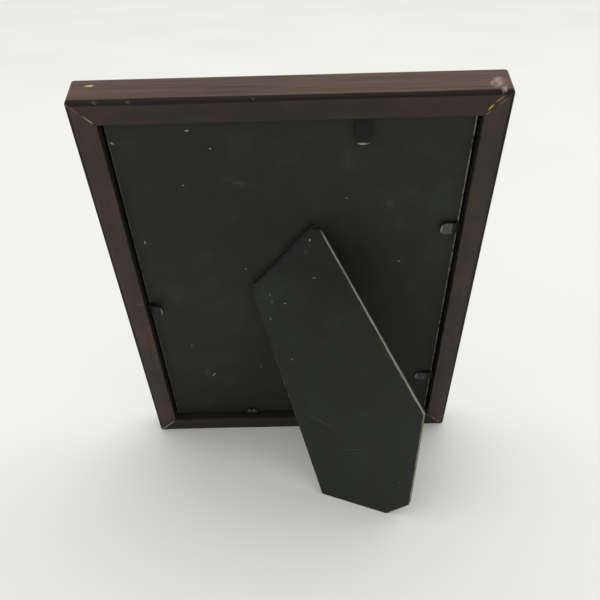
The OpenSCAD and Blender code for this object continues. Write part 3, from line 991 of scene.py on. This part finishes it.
def build_tabs():
    """Five bent tongues, each on its own body, and their driven-in ends as one piece."""
    steel = steel_look("tab_lacquer")
    anchor_points, anchor_faces = [], []
    for tab in TABS:
        axes = tab_axes(tab)
        points = node_points(tab, axes)
        tip = max(points, key=lambda p: p.x)
        ends = [p for p in points if p.x > tip.x - TIP_BAND]
        rise = sum(p.y for p in ends) / len(ends)
        half = node_span(tab, 2, axes)[1]
        path = tongue_path(tip.x - TIP_BAND / 2, rise)
        widths = tongue_widths(path, half)
        rings = strip_rings(path, widths, TAB_THICKNESS, Vector((0, 0, 1)), TAB_EDGE)
        more, faces = loft(rings)
        obj = piece(tab + "_steel", more, faces, axes, steel, tab, 60)
        count = len(rings[0])
        # the rows from the bend to just before the tip get the painted sheen
        sheen_start = round(len(rings) * TAB_BEND_AT)
        sheen_amount = TAB_PAINTED_SHEEN.get(tab, 0.0)
        last = len(rings) - 1
        painted_sheen = [sheen_amount * (sheen_start <= i < last) for i in range(len(rings))]
        paint(obj, "painted_sheen", [value for value in painted_sheen for _ in range(count)])
        # tip rows: bare cut steel with a painted glint
        paint(obj, "tip", [float(i >= last - 1) for i in range(len(rings)) for _ in range(count)])
        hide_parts(tab)
        inner_end = Vector((-ANCHOR_START - ANCHOR_LENGTH, 0, 0))
        root = walked([inner_end, Vector((-ANCHOR_START, 0, 0))], 0.75)
        full = [(-half, half)] * len(root)
        rings = strip_rings(root, full, TAB_THICKNESS, Vector((0, 0, 1)), TAB_EDGE)
        more, faces = loft(rings)
        to_standing = STANDING.inverted() @ axes
        anchor_faces += [tuple(i + len(anchor_points) for i in face) for face in faces]
        anchor_points += [to_standing @ (p * MM) / MM for p in more]
    anchors = piece("tab_anchors_steel", anchor_points, anchor_faces, STANDING, steel, "frame")
    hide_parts("tab_anchors")


# ---- Coins ----

COIN_POINTS = (5, 6, 8, 10, 12, 16)
COIN_BEADS = 60
COIN_REEDS = 72
COIN_SPOKES = 4 * COIN_REEDS
COIN_STEP = 0.4
REED_DEPTH = 0.09
COIN_RIM = 1.4
FIELD_DEPTH = 0.55
RELIEF = 0.5
STAR_REACH = 0.55
STAR_WAIST = 0.62
RING_MIDDLE = 0.695
RING_WIDTH = 0.03
BEAD_CIRCLE = 0.86
LEAF_CIRCLE = 0.62


def hump(distance, width):
    """A round-topped bump, 1 at its middle and 0 beyond its half width."""
    share = min(1.0, abs(distance) / width)
    return math.cos(share * math.pi / 2) ** 0.8


def star_height(share, angle, points):
    """Faceted star: highest at its middle and along its ridges."""
    sector = math.pi / points
    turn = abs((angle + sector) % (2 * sector) - sector)
    tip = Vector((STAR_REACH, 0))
    waist = Vector((math.cos(sector), math.sin(sector))) * STAR_REACH * STAR_WAIST
    ray = Vector((math.cos(turn), math.sin(turn)))
    edge = waist - tip
    border = tip.cross(edge) / ray.cross(edge)
    return max(0.0, 1 - share / border)


def coin_height(share, angle, index):
    """Height above the field, from 0 to 1, of a coin's generic ornament."""
    points = COIN_POINTS[index]
    star = star_height(share, angle, points) ** 0.7
    ring = hump(share - RING_MIDDLE, RING_WIDTH)
    fine = index % 2 == 0
    beads = COIN_BEADS if fine else COIN_BEADS // 2
    bead_turn = (angle * beads / (2 * math.pi) + 0.5) % 1 - 0.5
    bead_off = bead_turn * 2 * math.pi / beads * BEAD_CIRCLE
    bead = hump(math.hypot(share - BEAD_CIRCLE, bead_off if fine else bead_off * 0.5), 0.032)
    leaves = points * 2 if points < 10 else points
    leaf_turn = (angle * leaves / (2 * math.pi)) % 1 - 0.5
    leaf_off = leaf_turn * 2 * math.pi / leaves * LEAF_CIRCLE
    leaf = hump(math.hypot((share - LEAF_CIRCLE) * 1.2, leaf_off * 2), 0.035)
    return max(star, ring * 0.8, bead * 0.8, leaf * 0.6)


def coin_profile(radius, thickness):
    """Rim, reeded edge and back of a coin: (radius, depth, relief, reeded) from the field outwards."""
    field = radius - COIN_RIM
    back = thickness - FIELD_DEPTH
    return [
        (field, FIELD_DEPTH, 0.1, False),
        (field + 0.2, 0.08, 0.7, False),
        (field + 0.4, 0.0, 1.0, False),
        (radius - 0.25, 0.0, 1.0, False),
        (radius - 0.06, 0.08, 1.0, False),
        (radius, 0.25, 0.6, True),
        (radius, thickness - 0.25, 0.6, True),
        (radius - 0.06, thickness - 0.08, 1.0, False),
        (radius - 0.25, thickness, 1.0, False),
        (field + 0.4, thickness, 1.0, False),
        (field, back, 0.1, False),
        (field * 0.5, back, 0.2, False),
        (0.15, back, 0.2, False),
    ]


def build_coin(index, look):
    """One coin in the place of its CAD node; returns its centre across and up."""
    node = f"coin_{index + 1}"
    points = node_points(node, STANDING)
    low, high = (Vector([end(p[i] for p in points) for i in range(3)]) for end in (min, max))
    centre = (low + high) / 2
    radius = (high.x - low.x) / 2
    angles = [2 * math.pi * k / COIN_SPOKES for k in range(COIN_SPOKES)]
    rings, relief = [], []

    def add(reaches, depths, heights):
        ring = []
        for angle, reach, depth in zip(angles, reaches, depths):
            x = centre.x + reach * math.sin(angle)
            z = centre.z + reach * math.cos(angle)
            ring.append((x, low.y + depth, z))
        rings.append(ring)
        relief.extend(heights)

    steps = range(1, int((radius - COIN_RIM) / COIN_STEP))
    for share in [0.008] + [COIN_STEP / radius * k for k in steps]:
        heights = [coin_height(share, angle, index) for angle in angles]
        depths = [FIELD_DEPTH - RELIEF * height for height in heights]
        add([share * radius] * COIN_SPOKES, depths, heights)
    for reach, depth, height, reeded in coin_profile(radius, high.y - low.y):
        reaches = [reach - REED_DEPTH * (reeded and k % 4 < 2) for k in range(COIN_SPOKES)]
        add(reaches, [depth] * COIN_SPOKES, [height] * COIN_SPOKES)
    points, faces = loft(rings)
    coin = piece(node + "_silver", points, faces, STANDING, look, "frame", 30)
    paint(coin, "relief", relief)
    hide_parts(node)
    return centre.x, centre.z


# ---- Sheets kept from the CAD ----

BOARD_LINT = [
    flat_mark(20.4, 115.6, 0.4, 0.35),
    flat_mark(58.9, 131.8, 1.2, 0.3, 100),
    flat_mark(41.3, 43.1, 1.7, 0.35, 125),
    flat_mark(18.4, 48.9, 0.4, 0.35),
    flat_mark(61.9, 179.3, 1.0, 0.45, 45),
    flat_mark(35.4, 183.8, 0.9, 0.5),
    flat_mark(28.3, 176.1, 0.45, 0.4),
    flat_mark(40.0, 160.0, 0.5, 0.3, 20),
    flat_mark(-20.0, 152.0, 0.5, 0.25, 30),
    flat_mark(-42.0, 118.0, 0.8, 0.25, 10),
    flat_mark(49.0, 66.0, 0.8, 0.2, 100),
]
BOARD_SCUFFS = [
    flat_mark(44.0, 46.0, 8.0, 3.0, 110),
    flat_mark(52.0, 100.0, 10.0, 4.0, 80),
    flat_mark(-36.0, 150.0, 9.0, 3.0, 60),
    flat_mark(20.0, 160.0, 12.0, 5.0, 20),
]

GLASS_GAP = 0.06
GLASS_SEAM = 0.25
GLASS_CORNER = 0.6
LIP_GAP = 0.02
MAT_BORDER = 60
FLATTEN_WEIGHT = 100


def dress(node, look, soft_edge):
    """Gives a CAD node that keeps its shape its material and a softened edge."""
    obj = frame["nodes"][node]
    obj.data.materials.clear()
    obj.data.materials.append(look)
    soften = obj.modifiers.new("soft_edges", "BEVEL")
    soften.width = soft_edge * MM
    soften.segments = 2
    soften.limit_method = "ANGLE"
    soften.harden_normals = False
    flatten = obj.modifiers.new("flat_faces", "WEIGHTED_NORMAL")
    flatten.weight = FLATTEN_WEIGHT
    flatten.keep_sharp = False


def build_glass():
    """The pane, with seamed edges and a hair of air between it and the mat."""
    low_x, high_x = node_span("glass_pane", 0)
    low_y, high_y = node_span("glass_pane", 1)
    low_z, high_z = node_span("glass_pane", 2)
    corners = [
        (low_x, low_z, GLASS_CORNER),
        (high_x, low_z, GLASS_CORNER),
        (high_x, high_z, GLASS_CORNER),
        (low_x, high_z, GLASS_CORNER),
    ]
    outline = filleted(corners)
    rings = plate(outline, low_y + LIP_GAP, high_y - GLASS_GAP, GLASS_SEAM, 0.0, 0.0)
    points, faces = loft(rings)
    glass = piece("glass_pane_clear", points, faces, STANDING, glass_look(), "frame", 20)
    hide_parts("glass_pane")


def build_sheets(centres):
    """The sheets that keep their CAD shape; centres are the coins' places, seen in the windows."""
    mat_inside = [p.x for p in node_points("window_mat", STANDING) if p.x < MAT_BORDER]
    window = max(mat_inside) - max(c[0] for c in centres)
    dress("window_mat", mat_look(centres, window + 0.02), 0.05)
    dress("coin_tray", flock_look(), 0.3)
    dress("packing_card", card_look(), 0.1)
    core = fibre_look("board_core", srgb(140, 130, 108), srgb(84, 72, 56), STANDING)
    dress("backing_board", core, 0.15)
    board_edge = node_span("board_facing", 0)[1]
    paper = paper_look("board_paper", (27, 28, 24), STANDING, BOARD_LINT, BOARD_SCUFFS,
                       worn_from=board_edge)
    dress("board_facing", paper, 0.06)


# ---- Studio ----

CAMERA_TARGET = (-1.2, -6.3, 85.4)
CAMERA_DISTANCE = 330.0
CAMERA_HEADING = 180.56
CAMERA_ELEVATION = 26.57
CAMERA_ROLL = -1.62
CAMERA_LENS = 44.8
FLOOR_RADIUS = 6.0
FLOOR_TINT_LOW = (0.80, 0.80, 0.765)
FLOOR_TINT_HIGH = (0.83, 0.83, 0.80)
SKY_DULL = (0.82, 0.84, 0.75)
SKY_BRIGHT = (1.16, 1.16, 1.18)
SKY_TOWARDS = (0.0, 0.62, 0.78)
SOFTBOX_PLACE = (-0.7, 0.1, 2.0)
SOFTBOX_SIZE = 1.6
SOFTBOX_POWER = 6.5


def direction(heading, elevation):
    """Unit vector from the object to a viewer; heading 0 is in front, elevation above the desk."""
    h = math.radians(heading)
    e = math.radians(elevation)
    return Vector((math.sin(h) * math.cos(e), -math.cos(h) * math.cos(e), math.sin(e)))


def build_camera():
    data = bpy.data.cameras.new("camera")
    data.lens = CAMERA_LENS
    data.clip_start = 0.01
    data.clip_end = 50
    camera = bpy.data.objects.new("camera", data)
    towards = direction(CAMERA_HEADING, CAMERA_ELEVATION)
    turn = (-towards).to_track_quat("-Z", "Y").to_matrix().to_4x4()
    camera.matrix_world = turn @ Matrix.Rotation(math.radians(CAMERA_ROLL), 4, "Z")
    camera.location = (Vector(CAMERA_TARGET) + towards * CAMERA_DISTANCE) * MM
    bpy.context.scene.collection.objects.link(camera)
    bpy.context.scene.camera = camera


def build_lights():
    """A plain sky, brighter behind the viewer than behind the frame, and a large soft lamp above."""
    world = bpy.data.worlds.new("studio")
    world.use_nodes = True
    tree = world.node_tree
    heading = tree.nodes.new("ShaderNodeTexCoord")
    facing = tree.nodes.new("ShaderNodeVectorMath")
    facing.operation = "DOT_PRODUCT"
    facing.inputs[1].default_value = SKY_TOWARDS
    sky = tree.nodes.new("ShaderNodeMix")
    sky.data_type = "RGBA"
    sky.inputs[MIX_FIRST].default_value = (*SKY_DULL, 1)
    sky.inputs[MIX_SECOND].default_value = (*SKY_BRIGHT, 1)
    tree.links.new(heading.outputs["Generated"], facing.inputs[0])
    tree.links.new(facing.outputs["Value"], sky.inputs[0])
    tree.links.new(sky.outputs[MIX_RESULT], tree.nodes["Background"].inputs["Color"])
    bpy.context.scene.world = world
    light = bpy.data.lights.new("softbox", "AREA")
    light.shape = "DISK"
    light.size = SOFTBOX_SIZE
    light.energy = SOFTBOX_POWER
    softbox = bpy.data.objects.new("softbox", light)
    softbox.location = SOFTBOX_PLACE
    softbox.rotation_euler = (-Vector(SOFTBOX_PLACE)).to_track_quat("-Z", "Y").to_euler()
    bpy.context.scene.collection.objects.link(softbox)


def build_floor():
    """A wide disc of seamless paper under the object."""
    bm = bmesh.new()
    bmesh.ops.create_circle(bm, cap_ends=True, radius=FLOOR_RADIUS, segments=96)
    mesh = bpy.data.meshes.new("studio_floor")
    bm.to_mesh(mesh)
    bm.free()
    mesh.materials.append(floor_look())
    floor = bpy.data.objects.new("studio_floor", mesh)
    bpy.context.scene.collection.objects.link(floor)


bpy.context.scene.view_settings.view_transform = "Standard"
build_camera()
build_lights()
build_floor()
build_moulding()
build_brads()
build_strut()
build_hinge()
build_tabs()
build_glass()
silver = coin_look()
build_sheets([build_coin(index, silver) for index in range(len(COIN_POINTS))])
